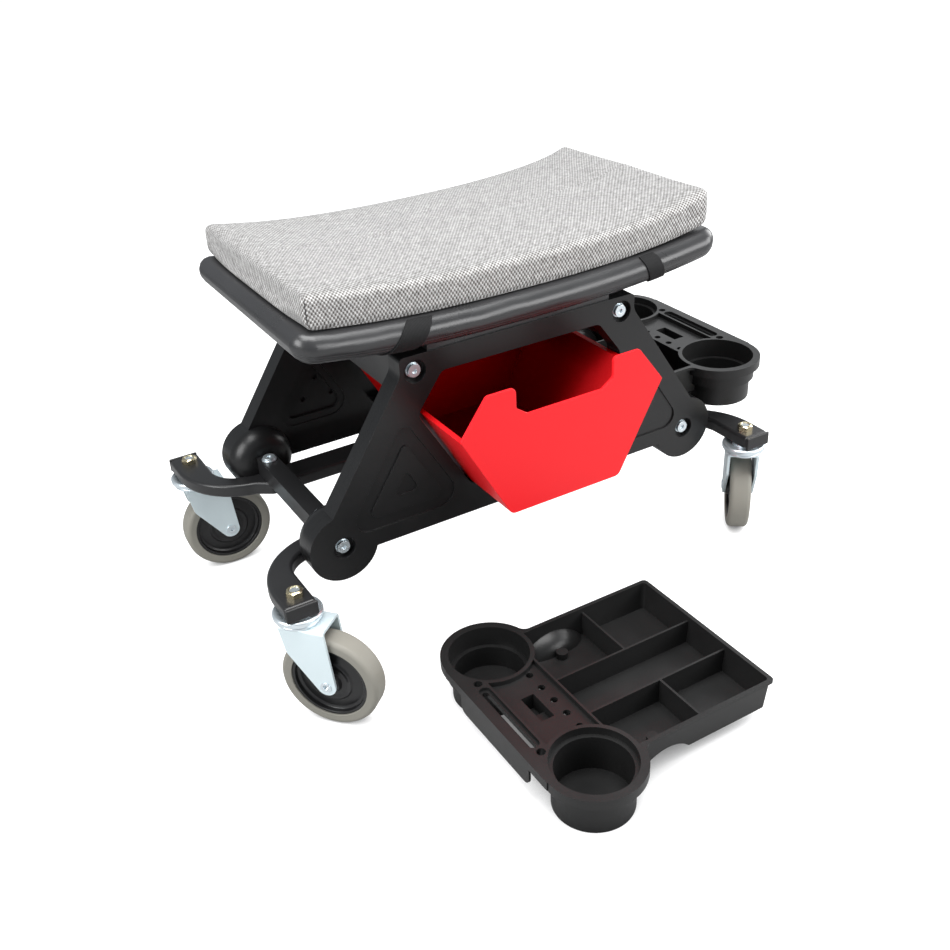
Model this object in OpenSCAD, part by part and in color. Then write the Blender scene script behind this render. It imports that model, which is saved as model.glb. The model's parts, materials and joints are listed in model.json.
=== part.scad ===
// Rolling creeper seat: two moulded side panels on two bent steel rails with four swivel casters,
// an upturned seat board with a strapped cushion, a sliding tool bin and two lift-out trays.
// X runs along the seat, Y across it, Z up. The origin is on the floor, below the middle of the frame.

/* [Side panels] */
// From the middle of the seat to the outer face of a side panel
panel_y = 121.2; // [118:0.2:128]
// Thickness of a side panel, its two shells together
panel_t = 22; // [20:0.5:24]
// From the hub centres up to the flat top edge
panel_rise = 178; // [172:1:190]
// Half the length of the flat top edge
panel_top_x = 135; // [133:1:140]
// Depth of the upright stretch below the top corners
panel_knee = 18; // [16:1:22]
// From the middle to a hub centre, along the seat
hub_x = 209.5; // [207:0.5:214]
// Radius of the round hubs at the lower corners
hub_r = 36; // [34:0.5:38]
// Height of the dome on the inner side of a hub
dome_h = 20; // [17:0.5:21]
// Radius of the flat crown of that dome
dome_flat_r = 16; // [15.5:0.5:19]
// Depth of each step of the triangular recesses
recess_d = 1.8; // [1:0.1:2.4]

/* [Window for the tool bin] */
// Half width of the window at its top edge
win_top_x = 91; // [88:1:93]
// Half width of the window where it is widest
win_mid_x = 120; // [118:1:122]
// Half width of the window at its bottom edge
win_low_x = 66; // [62:1:70]
// From the panel's top edge down to the window
win_top_drop = 23; // [20:1:26]
// From the panel's top edge down to the widest place
win_mid_drop = 62; // [58:1:66]
// From the panel's top edge down to the bottom edge
win_low_drop = 155.5; // [150:0.5:158]

/* [Tool bin] */
// How far the bin stands open, from its plate to the panel's face
bin_out = 72; // [40:1:90]
// Length of the bin from its front plate to its back
bin_len = 217; // [190:1:219]
// Wall of the bin
bin_wall = 2.6; // [2:0.1:3.4]
// Clearance of the bin's sides in the window, across the seat
bin_side_gap = 5; // [4:0.5:7]
// Depth of the hand notch in the bin's front plate
bin_notch = 30; // [22:1:34]

/* [Rails and cross bars] */
// Thickness of a rail
rail_t = 15; // [14:0.5:20]
// From the middle to the rail's near edge
rail_in_y = 51; // [48:1:54]
// From the middle to the rail's far edge
rail_out_y = 85; // [82:1:90]
// Outer radius of the bend towards a caster
bend_out_r = 78; // [74:1:80]
// Inner radius of that bend
bend_in_r = 32; // [28:1:36]
// From a hub's centre out to the outer side of a rail's end
rail_reach = 83.5; // [81:0.5:88]
// Width of a rail at its end
rail_end_w = 32; // [30:0.5:34]
// From the middle to a rail's end, across the seat
rail_end_y = 171; // [169:1:178]
// Side of the square lower cross bars
low_bar = 20; // [18:0.5:22]
// Width of the upper cross bars
top_bar_w = 28; // [26:1:30]
// Height of the upper cross bars
top_bar_h = 44; // [40:0.5:46]
// Wall of the cross bars
bar_wall = 2; // [1.5:0.1:3]

/* [Casters] */
// From the outer side of a rail's end in to the caster's stem
stem_in = 18; // [16:0.5:20]
// From a rail's end back to the caster's stem
stem_back = 20.5; // [19:0.5:23]
// Radius of a wheel
wheel_r = 50; // [45:0.5:55]
// Width of a tyre
tyre_w = 24; // [20:1:26]
// Depth of a tyre from its tread to the wheel's rim
tyre_deep = 11; // [8:0.5:14]
// Space between a wheel and the crown of its fork
crown_over = 11; // [6:0.5:14]
// From the stem's axis to the wheel's axle
trail = 28.5; // [26:0.5:32]
// Thickness of the fork's sheet
fork_t = 3; // [2.5:0.1:3.5]

/* [Seat board and cushion] */
// Half the length of the board
board_x = 235; // [228:1:245]
// Half the width of the board
board_y = 135; // [130:1:142]
// Thickness of the board, which is also twice its nose radius
board_t = 30; // [26:1:34]
// How far the ends of the board turn up
board_rise = 17; // [10:1:24]
// Half the length of the cushion
cushion_x = 218; // [205:1:222]
// Half the width of the cushion
cushion_y = 125; // [118:1:127]
// Thickness of the cushion at its sides
cushion_t = 29; // [24:1:36]
// Extra thickness of the cushion at its crown
cushion_crown = 5; // [2:0.5:9]
// Width of the elastic straps
strap_w = 28; // [22:1:32]

/* [Trays] */
// Height of a tray from the cups' underside to its rim
tray_h = 48; // [46:1:52]
// Half the distance between the cups
cup_y = 86; // [85:0.5:87]
// Outer radius of a cup's rim
cup_rim_r = 48; // [46:0.5:49]
// Radius of a cup's mouth
cup_r = 40; // [37:0.5:40.5]
// Radius of the narrower lower part of a cup
cup_low_r = 35.5; // [33:0.5:36]
// Length of the tray from the cups' centres to its far end
tray_len = 200; // [190:1:200.5]
// Half the width of the tray's lip
tray_y = 96.5; // [94:0.5:97]
// Depth of the tray's compartments below the rim
tray_deep = 31; // [28:1:32]
// Wall of the trays
tray_wall = 2.2; // [1.8:0.1:2.8]

/* [Hidden] */
cut = 1;                       // overrun of every cut
arc_steps = 6;                 // chords in a rounded corner
$fn = 64;

crown_z = 2 * wheel_r + crown_over + fork_t;
crown_drop = 11;               // from the rail down to the fork's crown
caster_h = crown_z + crown_drop;
rail_end_x = hub_x + rail_reach;
stem_x = rail_end_x - stem_in;
stem_y = rail_end_y - stem_back;
rail_top_z = caster_h + rail_t;
hub_z = rail_top_z + low_bar / 2;
panel_top_z = hub_z + panel_rise;
panel_in_y = panel_y - panel_t;
panel_seam_y = panel_y - panel_t / 2;
slant_over = 10.5;             // a point low on the slanted side edge, from the hub's centre
slant_up = 32;

bolt_r = 4;                    // frame bolts, shank
bolt_head_r = 6.5;
bolt_head_h = 3.4;
bolt_fit = 0.05;
bore_loose = 0.2;
washer_r = 7.5;
washer_t = 1.5;
sink_r = 11.6;                 // counterbore for head and washer
sink_d = 6.5;
top_bolt_x = 119;
top_bolt_drop = 16.5;
top_bolt_z = panel_top_z - top_bolt_drop;
end_plate_t = 6;
bar_plug_t = 9;
socket_d = 13;                 // square sockets in the hub domes
socket_gap = 0.3;

win_top_z = panel_top_z - win_top_drop;
win_mid_z = panel_top_z - win_mid_drop;
win_low_z = panel_top_z - win_low_drop;
win_r = 10;
web_t = 4;                     // closed window of the rear panel

function unit(v) = v / norm(v);
function corner(a, b, c, r) =
    let (u = unit(a - b), w = unit(c - b), half = acos(u * w) / 2,
         mid = b + unit(u + w) * r / sin(half),
         from = b + u * r / tan(half) - mid, to = b + w * r / tan(half) - mid,
         start = atan2(from[1], from[0]),
         turn = ((atan2(to[1], to[0]) - start + 540) % 360) - 180)
    r == 0 ? [b] : [for (k = [0 : arc_steps])
        mid + r * [cos(start + turn * k / arc_steps), sin(start + turn * k / arc_steps)]];
// outline with every corner rounded by its own radius
function rounded(points, radii) = let (n = len(points))
    [for (i = [0 : n - 1]) each corner(points[(i + n - 1) % n], points[i], points[(i + 1) % n], radii[i])];
// convex outline moved inwards
function inset(points, d) = let (n = len(points))
    [for (i = [0 : n - 1])
        let (u = unit(points[(i + n - 1) % n] - points[i]), w = unit(points[(i + 1) % n] - points[i]))
        points[i] + unit(u + w) * d / sin(acos(u * w) / 2)];
function arc(mid, r, start, stop, steps) =
    [for (k = [0 : steps]) mid + r * [cos(start + (stop - start) * k / steps),
                                      sin(start + (stop - start) * k / steps)]];
function flip_x(points) = [for (p = points) [-p[0], p[1]]];

// outline in X and Z, given thickness between two places in Y
module between_y(y_from, y_to) {
    translate([0, y_to, 0]) rotate([90, 0, 0]) linear_extrude(y_to - y_from) children();
}
module rod_y(r, y_from, y_to, x, z) {
    translate([x, y_to, z]) rotate([90, 0, 0]) cylinder(r = r, h = y_to - y_from);
}
module rod_z(r, z_from, z_to, x, y) {
    translate([x, y, z_from]) cylinder(r = r, h = z_to - z_from);
}
module both_x() {
    children();
    mirror([1, 0, 0]) children();
}
module both_y() {
    children();
    mirror([0, 1, 0]) children();
}
// solid between two outlines of as many points, the lower one first
module loft(low, z_low, high, z_high) {
    n = len(low);
    polyhedron(
        points = concat([for (p = low) [p[0], p[1], z_low]], [for (p = high) [p[0], p[1], z_high]]),
        faces = concat([[for (i = [0 : n - 1]) i]], [[for (i = [n - 1 : -1 : 0]) n + i]],
            [for (i = [0 : n - 1]) [i, n + i, (i + 1) % n]],
            [for (i = [0 : n - 1]) [(i + 1) % n, n + i, n + (i + 1) % n]]));
}
// solid skin through closed rings of as many points, with flat ends
module rings(sections) {
    m = len(sections);
    n = len(sections[0]);
    polyhedron(
        points = [for (s = sections) each s],
        faces = concat([[for (i = [n - 1 : -1 : 0]) i]], [[for (i = [0 : n - 1]) (m - 1) * n + i]],
            [for (k = [0 : m - 2]) for (i = [0 : n - 1])
                [k * n + i, k * n + (i + 1) % n, (k + 1) * n + i]],
            [for (k = [0 : m - 2]) for (i = [0 : n - 1])
                [k * n + (i + 1) % n, (k + 1) * n + (i + 1) % n, (k + 1) * n + i]]));
}

// Side panels: each is an outer and an inner moulded shell, joined at the seam on its edge
knee_r = 16;
top_corner_r = 5;
panel_points = [[panel_top_x, panel_top_z], [-panel_top_x, panel_top_z],
    [-panel_top_x, panel_top_z - panel_knee], [-hub_x - slant_over, hub_z + slant_up],
    [-hub_x, rail_top_z], [hub_x, rail_top_z], [hub_x + slant_over, hub_z + slant_up],
    [panel_top_x, panel_top_z - panel_knee]];
panel_radii = [top_corner_r, top_corner_r, knee_r, 0, 0, 0, 0, knee_r];
window_points = [[win_top_x, win_top_z], [-win_top_x, win_top_z], [-win_mid_x, win_mid_z],
    [-win_low_x, win_low_z], [win_low_x, win_low_z], [win_mid_x, win_mid_z]];
side_slope = (hub_x + slant_over - panel_top_x) / (panel_rise - panel_knee - slant_up);
win_slope = (win_mid_x - win_low_x) / (win_mid_z - win_low_z);
recess_side_gap = 28.7;        // from the panel's slanted side, and from the window's
recess_win_gap = 15;
recess_foot = 8;
recess_r = 18;
recess_corner_shares = [0.5, 0.8, 1];
recess_in = [0, 13, 29];       // the groove's outside, the island in it, the hollow in the island
recess_round_shares = [1, 0.45, 0.3];
pocket_foot = [24, 32];        // the inner shell's pocket and its step, above the hubs
pocket_gap = [6, 15];
pocket_deep = [1.5, 5];
screw_hole_r = 3.2;            // three blind holes in the pocket's floor
screw_hole_d = 8;
screw_hole_rise = 73;
screw_hole_x = 132;
screw_hole_down = 22.6;
screw_hole_aside = 17;

module panel_slab(y_from, y_to) {
    between_y(y_from, y_to) polygon(rounded(panel_points, panel_radii));
    both_x() rod_y(hub_r, y_from, y_to, hub_x, hub_z);
}
// triangle between the slanted sides of panel and window, foot above the hubs and gap inside
function recess_points(foot, gap) =
    let (out_x = hub_x + slant_over + (slant_up - foot) * side_slope - recess_side_gap - gap,
         in_x = win_low_x + (hub_z + foot - win_low_z) * win_slope + recess_win_gap + gap,
         up = (out_x - in_x) / (side_slope + win_slope))
    [[out_x - side_slope * up, hub_z + foot + up], [out_x, hub_z + foot], [in_x, hub_z + foot]];
module recess(k) {
    both_x() polygon(rounded(inset(recess_points(recess_foot, 0), recess_in[k]),
        [for (share = recess_corner_shares) share * recess_round_shares[k] * recess_r]));
}
module bolt_places() {
    both_x() translate([hub_x, 0, hub_z]) children();
    both_x() translate([top_bolt_x, 0, top_bolt_z]) children();
}
module outer_shell(web) {
    difference() {
        panel_slab(panel_seam_y, panel_y);
        between_y(panel_seam_y - cut, panel_y - web)
            polygon(rounded(window_points, [for (p = window_points) win_r]));
        between_y(panel_y - recess_d, panel_y + cut) difference() {
            recess(0);
            recess(1);
        }
        between_y(panel_y - recess_d, panel_y + cut) recess(2);
        bolt_places() {
            rod_y(bolt_r + bore_loose, panel_seam_y - cut, panel_y + cut, 0, 0);
            rod_y(sink_r, panel_y - sink_d, panel_y + cut, 0, 0);
        }
    }
}
dome_steps = 8;
function dome_profile(wider, taller) = concat([[0, -cut]],
    [for (k = [0 : dome_steps]) let (a = 90 * k / dome_steps)
        [dome_flat_r + wider + (hub_r - dome_flat_r) * cos(a), (dome_h + taller) * sin(a)]],
    [[0, dome_h + taller]]);
// hub dome about the Y axis, its base at Y = 0, rising towards -Y
module dome(wider, taller) {
    rotate([90, 0, 0]) rotate_extrude() polygon(dome_profile(wider, taller));
}
module inner_shell() {
    difference() {
        union() {
            panel_slab(panel_in_y, panel_seam_y);
            both_x() translate([hub_x, panel_in_y, hub_z]) dome(0, 0);
        }
        for (k = [0 : 1]) {
            between_y(panel_in_y - cut, panel_in_y + pocket_deep[k]) both_x()
                polygon(rounded(recess_points(pocket_foot[k], pocket_gap[k]),
                    [for (share = recess_corner_shares) share * recess_r / (k + 1)]));
        }
        both_x() for (side = [-1, 0, 1]) {
            rod_y(screw_hole_r, panel_in_y - cut, panel_in_y + screw_hole_d,
                screw_hole_x + side * screw_hole_aside,
                hub_z + screw_hole_rise - abs(side) * screw_hole_down);
        }
        between_y(panel_in_y - cut, panel_seam_y + cut)
            polygon(rounded(window_points, [for (p = window_points) win_r]));
        bolt_places() {
            rod_y(bolt_r + bore_loose, panel_in_y - dome_h - cut, panel_seam_y + cut, 0, 0);
        }
        both_x() translate([hub_x - low_bar / 2 - socket_gap, panel_in_y - dome_h - cut,
            hub_z - low_bar / 2 - socket_gap])
            cube([low_bar + 2 * socket_gap, socket_d + cut, low_bar + 2 * socket_gap]);
        translate([0, 0, hub_z - hub_r - cut]) linear_extrude(hub_r + cut - low_bar / 2)
            polygon(rail_points(socket_gap, rail_end_y));
    }
}
module panel_front_outer() {
    color([0.09, 0.09, 0.1]) mirror([0, 1, 0]) outer_shell(-cut);
}
module panel_front_inner() {
    color([0.11, 0.11, 0.12]) mirror([0, 1, 0]) inner_shell();
}
module panel_rear_outer() {
    color([0.09, 0.09, 0.1]) outer_shell(web_t);
}
module panel_rear_inner() {
    color([0.11, 0.11, 0.12]) inner_shell();
}

// Frame bolts: button heads with a socket, each on a washer in its counterbore
bolt_end_top = panel_in_y - end_plate_t;
bolt_end_low = panel_in_y - dome_h + socket_d - bar_plug_t;
head_seat_y = panel_y - sink_d + washer_t;
socket_key_r = 2.6;
socket_key_d = 2;

module frame_bolt(end_y) {
    difference() {
        union() {
            rod_y(bolt_r, end_y, head_seat_y + cut, 0, 0);
            rod_y(bolt_head_r, head_seat_y, head_seat_y + bolt_head_h, 0, 0);
        }
        translate([0, head_seat_y + bolt_head_h + cut, 0]) rotate([90, 0, 0])
            cylinder(r = socket_key_r, h = socket_key_d + cut, $fn = 6);
    }
}
module frame_bolts() {
    color([0.8, 0.81, 0.82]) both_y() both_x() {
        translate([hub_x, 0, hub_z]) frame_bolt(bolt_end_low);
        translate([top_bolt_x, 0, top_bolt_z]) frame_bolt(bolt_end_top);
    }
}
module frame_washers() {
    color([0.7, 0.71, 0.73]) both_y() bolt_places() difference() {
        rod_y(washer_r, panel_y - sink_d, head_seat_y, 0, 0);
        rod_y(bolt_r + bore_loose, panel_y - sink_d - cut, head_seat_y + cut, 0, 0);
    }
}

// Upper cross bars: box tubes with welded end plates, between the panels and below the board
seat_screw_y = 60;
seat_screw_r = 2.5;
top_bar_z = panel_top_z - top_bar_h;

module top_bar() {
    difference() {
        translate([top_bolt_x - top_bar_w / 2, -panel_in_y, top_bar_z])
            cube([top_bar_w, 2 * panel_in_y, top_bar_h]);
        translate([top_bolt_x - top_bar_w / 2 + bar_wall, end_plate_t - panel_in_y, top_bar_z + bar_wall])
            cube([top_bar_w - 2 * bar_wall, 2 * (panel_in_y - end_plate_t), top_bar_h - 2 * bar_wall]);
        both_y() rod_y(bolt_r + bolt_fit, bolt_end_top - cut, panel_in_y + cut, top_bolt_x, top_bolt_z);
        both_y() rod_z(seat_screw_r + bore_loose, top_bar_z - cut, panel_top_z + cut, seat_screw_x,
            seat_screw_y);
    }
}
module top_bar_left() {
    color([0.07, 0.07, 0.08]) mirror([1, 0, 0]) top_bar();
}
module top_bar_right() {
    color([0.07, 0.07, 0.08]) top_bar();
}

// Lower cross bars: square tubes that end in the sockets of the hub domes
rail_screw_y = 68;
rail_screw_r = 3;
low_bar_end = panel_in_y - dome_h + socket_d - socket_gap;

module low_bar_piece() {
    difference() {
        translate([hub_x - low_bar / 2, -low_bar_end, rail_top_z])
            cube([low_bar, 2 * low_bar_end, low_bar]);
        translate([hub_x - low_bar / 2 + bar_wall, bar_plug_t - low_bar_end, rail_top_z + bar_wall])
            cube([low_bar - 2 * bar_wall, 2 * (low_bar_end - bar_plug_t), low_bar - 2 * bar_wall]);
        both_y() rod_y(bolt_r + bolt_fit, bolt_end_low - cut, low_bar_end + cut, hub_x, hub_z);
        both_y() rod_z(rail_screw_r + bolt_fit, rail_top_z - cut, rail_top_z + low_bar + cut, hub_x,
            rail_screw_y);
    }
}
module low_bar_left() {
    color([0.05, 0.05, 0.06]) mirror([1, 0, 0]) low_bar_piece();
}
module low_bar_right() {
    color([0.05, 0.05, 0.06]) low_bar_piece();
}

// Screws: from above through the lower bars into the rails, from below through the upper bars
screw_head_r = 6.5;
screw_head_h = 4;
screw_flange_r = 8;
screw_flange_t = 1.4;
rail_screw_deep = 11;
seat_screw_head_r = 5.5;
seat_screw_head_h = 3;
seat_screw_grip = 9;

module rail_screw() {
    top = rail_top_z + low_bar;
    difference() {
        union() {
            rod_z(rail_screw_r, rail_top_z - rail_screw_deep, top + cut, 0, 0);
            rod_z(screw_flange_r, top, top + screw_flange_t, 0, 0);
            rod_z(screw_head_r, top, top + screw_head_h, 0, 0);
        }
        translate([0, 0, top + screw_head_h - socket_key_d])
            cylinder(r = socket_key_r, h = socket_key_d + cut, $fn = 6);
    }
}
module rail_screws() {
    color([0.78, 0.8, 0.82]) both_x() both_y() translate([hub_x, rail_screw_y, 0]) rail_screw();
}
module seat_screw() {
    rod_z(seat_screw_head_r, top_bar_z - seat_screw_head_h, top_bar_z, 0, 0);
    rod_z(seat_screw_r, top_bar_z - cut, panel_top_z + seat_screw_grip, 0, 0);
}
module seat_screws() {
    color([0.7, 0.71, 0.73]) both_x() both_y() translate([seat_screw_x, seat_screw_y, 0]) seat_screw();
}

// Rails: bent flat tube, one in front and one behind, each carries two casters
rail_stub = 32;                // straight stretch of a rail's end
bend_start_deg = -78;
bend_steps = 14;
bend_out_mid = [rail_end_x - bend_out_r, rail_end_y - rail_stub];
bend_in_mid = [rail_end_x - rail_end_w - bend_in_r, rail_out_y + bend_in_r];
cap_t = 3;
cap_plug = 9;
rail_wall = 2.5;
// a rail's outline up to its ends, or one that lies outside it by gap, or inside it by -gap
function rail_half(gap, end_y) = concat([[bend_out_mid[0], rail_in_y - gap]],
    arc(bend_out_mid, bend_out_r + gap, bend_start_deg, 0, bend_steps),
    [[rail_end_x + gap, end_y], [rail_end_x - rail_end_w - gap, end_y]],
    arc(bend_in_mid, bend_in_r - gap, 0, -90, bend_steps));
function rail_points(gap, end_y) = let (half = rail_half(gap, end_y), n = len(half))
    concat(half, flip_x([for (i = [n - 1 : -1 : 0]) half[i]]));

module rail() {
    difference() {
        translate([0, 0, caster_h]) linear_extrude(rail_t) polygon(rail_points(0, rail_end_y - cap_t));
        translate([0, 0, caster_h + rail_wall]) linear_extrude(rail_t - 2 * rail_wall)
            polygon(rail_points(-rail_wall, rail_end_y - cap_t + cut));
        both_x() rod_z(rail_screw_r + bolt_fit, rail_top_z - rail_screw_deep, rail_top_z + cut,
            hub_x, rail_screw_y);
        both_x() rod_z(stem_r + bolt_fit, caster_h - cut, rail_top_z + cut, stem_x, stem_y);
    }
}
module rail_front() {
    color([0.04, 0.04, 0.05]) mirror([0, 1, 0]) rail();
}
module rail_rear() {
    color([0.04, 0.04, 0.05]) rail();
}
module rail_caps() {
    plug_in = rail_wall + socket_gap;
    color([0.13, 0.13, 0.14]) both_x() both_y() {
        translate([rail_end_x - rail_end_w, rail_end_y - cap_t, caster_h])
            cube([rail_end_w, cap_t, rail_t]);
        translate([rail_end_x - rail_end_w + plug_in, rail_end_y - cap_t - cap_plug, caster_h + plug_in])
            cube([rail_end_w - 2 * plug_in, cap_plug + cut, rail_t - 2 * plug_in]);
    }
}

// Casters: a kingpin with the upper race, the turning fork with its lower race, axle and wheel
stem_r = 5;
race_gap = 0.3;
race_r = 24;
race_chamfer = 1.4;
low_race_h = 3.2;
low_race_in = 2.5;             // the lower race is a little smaller
race_bore_gap = 2;
up_race_h = 6.5;
up_race_rim = 3.5;             // width of its rim
dish_d = 2.5;                  // and the dish inside the rim
dish_r = 15;
collar_r = 12.5;
rivet_r = 9;
rivet_t = 3.5;
nut_r = 8.6;
nut_h = 6.5;
nut_chamfer = [2.4, 1.6];      // its top, inwards and down
stem_sunk = 1;
sleeve_r = 6;
axle_r = 4;
axle_head_r = 5.5;
axle_head_t = 1.2;
axle_key_r = 2.6;
fork_gap = 2.5;                // from a leg to the tyre
fork_in = tyre_w / 2 + fork_gap;
fork_front = 14.6;             // the crown's reach ahead of the stem
fork_roof = 3.8;               // and beyond the axle, over the wheel
fork_brow = [6.2, 30];         // lower end of a leg's upright front edge, inwards and down
fork_brow_r = 14;
leg_r = 10;
fork_fold_r = 4;               // bends of the sheet, outside
caster_turn = [-49.7, 50.8, -2.8, 24];
caster_side = [[-1, -1], [1, -1], [-1, 1], [1, 1]];

module at_caster(i) {
    translate([caster_side[i][0] * stem_x, caster_side[i][1] * stem_y, 0]) rotate(caster_turn[i])
        children();
}
module stem() {
    race_z = crown_z + low_race_h + race_gap;
    top_z = race_z + up_race_h;
    rim = race_r;
    foot_z = crown_z - fork_t;
    color([0.72, 0.73, 0.75]) rotate_extrude() polygon([[0, foot_z - rivet_t], [rivet_r, foot_z - rivet_t],
        [rivet_r, foot_z - race_gap], [stem_r, foot_z - race_gap], [stem_r, race_z],
        [rim - race_chamfer, race_z], [rim, race_z + race_chamfer], [rim, top_z - race_chamfer],
        [rim - race_chamfer, top_z], [rim - up_race_rim, top_z], [dish_r, top_z - dish_d],
        [collar_r, top_z - dish_d], [collar_r, caster_h], [stem_r, caster_h],
        [stem_r, rail_top_z + nut_h - stem_sunk], [0, rail_top_z + nut_h - stem_sunk]]);
}
module caster_nuts() {
    color([0.8, 0.68, 0.36]) for (side = caster_side) {
        translate([side[0] * stem_x, side[1] * stem_y, rail_top_z]) difference() {
            intersection() {
                cylinder(r = nut_r, h = nut_h, $fn = 6);
                rotate_extrude() polygon([[0, 0], [nut_r, 0], [nut_r, nut_h - nut_chamfer[1]],
                    [nut_r - nut_chamfer[0], nut_h], [0, nut_h]]);
            }
            translate([0, 0, -cut]) cylinder(r = stem_r + bolt_fit, h = nut_h + 2 * cut);
        }
    }
}
module bearing() {
    bore = stem_r + race_bore_gap;
    top_z = crown_z + low_race_h;
    rim = race_r - low_race_in;
    color([0.7, 0.71, 0.73]) rotate_extrude() polygon([[bore, crown_z], [rim, crown_z],
        [rim, top_z - race_chamfer], [rim - race_chamfer, top_z], [bore, top_z]]);
}
// outline of the folded sheet across the wheel, or of the room inside it
function fork_fold(half, top, foot, r) =
    rounded([[half, top], [-half, top], [-half, foot], [half, foot]], [r, r, 0, 0]);
// where a line from p touches the round end of a leg, on one side or the other
function leg_touch(p, side) =
    let (axle = [trail, wheel_r], v = p - axle, a = atan2(v[1], v[0]) + side * acos(leg_r / norm(v)))
    axle + leg_r * [cos(a), sin(a)];
module fork() {
    half = fork_in + fork_t;
    top_rear = [trail + fork_roof, crown_z + cut];
    brow = [fork_brow[0] - fork_front, crown_z - fork_brow[1]];
    side = [top_rear, [-fork_front, crown_z + cut], brow, leg_touch(brow, 1), leg_touch(top_rear, -1)];
    color([0.83, 0.85, 0.87]) difference() {
        intersection() {
            rotate([90, 0, 90]) translate([0, 0, -race_r - cut]) linear_extrude(2 * (race_r + trail))
                difference() {
                    polygon(fork_fold(half, crown_z, 0, fork_fold_r));
                    polygon(fork_fold(fork_in, crown_z - fork_t, -cut, fork_fold_r - fork_t));
                }
            between_y(-half - cut, half + cut) {
                polygon(rounded(side, [0, 0, fork_brow_r, 0, 0]));
                translate([trail, wheel_r]) circle(r = leg_r);
            }
        }
        rod_z(stem_r + bolt_fit, crown_z - fork_t - cut, crown_z + cut, 0, 0);
        rod_y(axle_r + bolt_fit, -half - cut, half + cut, trail, wheel_r);
    }
}
module axle() {
    head_y = fork_in + fork_t;
    color([0.75, 0.76, 0.78]) difference() {
        union() {
            rod_y(axle_r, -head_y - cut, head_y + cut, trail, wheel_r);
            rod_y(sleeve_r, -fork_in, fork_in, trail, wheel_r);
            rod_y(axle_head_r, -head_y - axle_head_t, -head_y, trail, wheel_r);
            rod_y(axle_head_r, head_y, head_y + axle_head_t, trail, wheel_r);
        }
        rod_y(axle_key_r, -head_y - axle_head_t - cut, cut - head_y, trail, wheel_r);
        rod_y(axle_key_r, head_y - cut, head_y + axle_head_t + cut, trail, wheel_r);
    }
}
// the wheel's disc: radii and half widths from the bore to the tyre's seat, as shares
boss_gap = 0.5;
wheel_boss_half = fork_in - boss_gap;
tyre_seat_r = wheel_r - tyre_deep;
wheel_bore_r = sleeve_r + bolt_fit;
wheel_disc_shares = [[0, 1], [0.16, 1], [0.2, 0.62], [0.34, 0.55], [0.46, 0.64], [0.52, 0.5],
    [0.82, 0.34], [0.9, 0.44], [0.91, 0.75], [1, 0.75]];

module wheel() {
    span = tyre_seat_r - wheel_bore_r;
    side = [for (p = wheel_disc_shares) [wheel_bore_r + p[0] * span, p[1] * wheel_boss_half]];
    n = len(side);
    color([0.05, 0.05, 0.055]) translate([trail, 0, wheel_r]) rotate([90, 0, 0]) rotate_extrude()
        polygon(concat(side, [for (i = [n - 1 : -1 : 0]) [side[i][0], -side[i][1]]]));
}
tread_r = 5;
tyre_lip_r = 0.8;
module tyre() {
    color([0.55, 0.53, 0.5]) translate([trail, 0, wheel_r]) rotate([90, 0, 0]) rotate_extrude()
        polygon(rounded([[tyre_seat_r, -tyre_w / 2], [wheel_r, -tyre_w / 2], [wheel_r, tyre_w / 2],
            [tyre_seat_r, tyre_w / 2]], [tyre_lip_r, tread_r, tread_r, tyre_lip_r]));
}
module stem_fl() { at_caster(0) stem(); }
module stem_fr() { at_caster(1) stem(); }
module stem_rl() { at_caster(2) stem(); }
module stem_rr() { at_caster(3) stem(); }
module bearing_fl() { at_caster(0) bearing(); }
module bearing_fr() { at_caster(1) bearing(); }
module bearing_rl() { at_caster(2) bearing(); }
module bearing_rr() { at_caster(3) bearing(); }
module fork_fl() { at_caster(0) fork(); }
module fork_fr() { at_caster(1) fork(); }
module fork_rl() { at_caster(2) fork(); }
module fork_rr() { at_caster(3) fork(); }
module axle_fl() { at_caster(0) axle(); }
module axle_fr() { at_caster(1) axle(); }
module axle_rl() { at_caster(2) axle(); }
module axle_rr() { at_caster(3) axle(); }
module wheel_fl() { at_caster(0) wheel(); }
module wheel_fr() { at_caster(1) wheel(); }
module wheel_rl() { at_caster(2) wheel(); }
module wheel_rr() { at_caster(3) wheel(); }
module tyre_fl() { at_caster(0) tyre(); }
module tyre_fr() { at_caster(1) tyre(); }
module tyre_rl() { at_caster(2) tyre(); }
module tyre_rr() { at_caster(3) tyre(); }

// Tool bin: a trough that follows the window, with an eared front plate and a tall back
bin_front_y = -panel_y - bin_out;
bin_plate_t = 3;
bin_seat_gap = 0.3;
bin_low_z = win_low_z + bin_seat_gap;
bin_low_x = win_low_x - bin_side_gap / 2;
bin_mid_x = win_mid_x - bin_side_gap;
bin_mid_z = win_mid_z + bin_seat_gap;
bin_top_x = win_top_x - bin_side_gap;
bin_top_z = win_top_z - bin_seat_gap;
bin_back_z = bin_top_z - bin_plate_t;
bin_low_r = 8;
bin_ear_r = 5;
bin_side_r = 3;
notch_x = 55;
notch_low_x = 42;
notch_slope = 9;
notch_z = bin_top_z - bin_notch;
trough_points = [[-bin_mid_x, bin_mid_z], [-bin_low_x, bin_low_z], [bin_low_x, bin_low_z],
    [bin_mid_x, bin_mid_z]];
trough_in = inset(trough_points, bin_wall);
front_points = [[bin_top_x, bin_top_z], [notch_x, bin_top_z], [notch_x, notch_z + notch_slope],
    [notch_low_x, notch_z], [-notch_low_x, notch_z], [-notch_x, notch_z + notch_slope],
    [-notch_x, bin_top_z], [-bin_top_x, bin_top_z], [-bin_mid_x, bin_mid_z], [-bin_low_x, bin_low_z],
    [bin_low_x, bin_low_z], [bin_mid_x, bin_mid_z]];
front_radii = [bin_ear_r, bin_ear_r, bin_ear_r, bin_ear_r, bin_ear_r, bin_ear_r, bin_ear_r, bin_ear_r,
    bin_side_r, bin_low_r, bin_low_r, bin_side_r];
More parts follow.
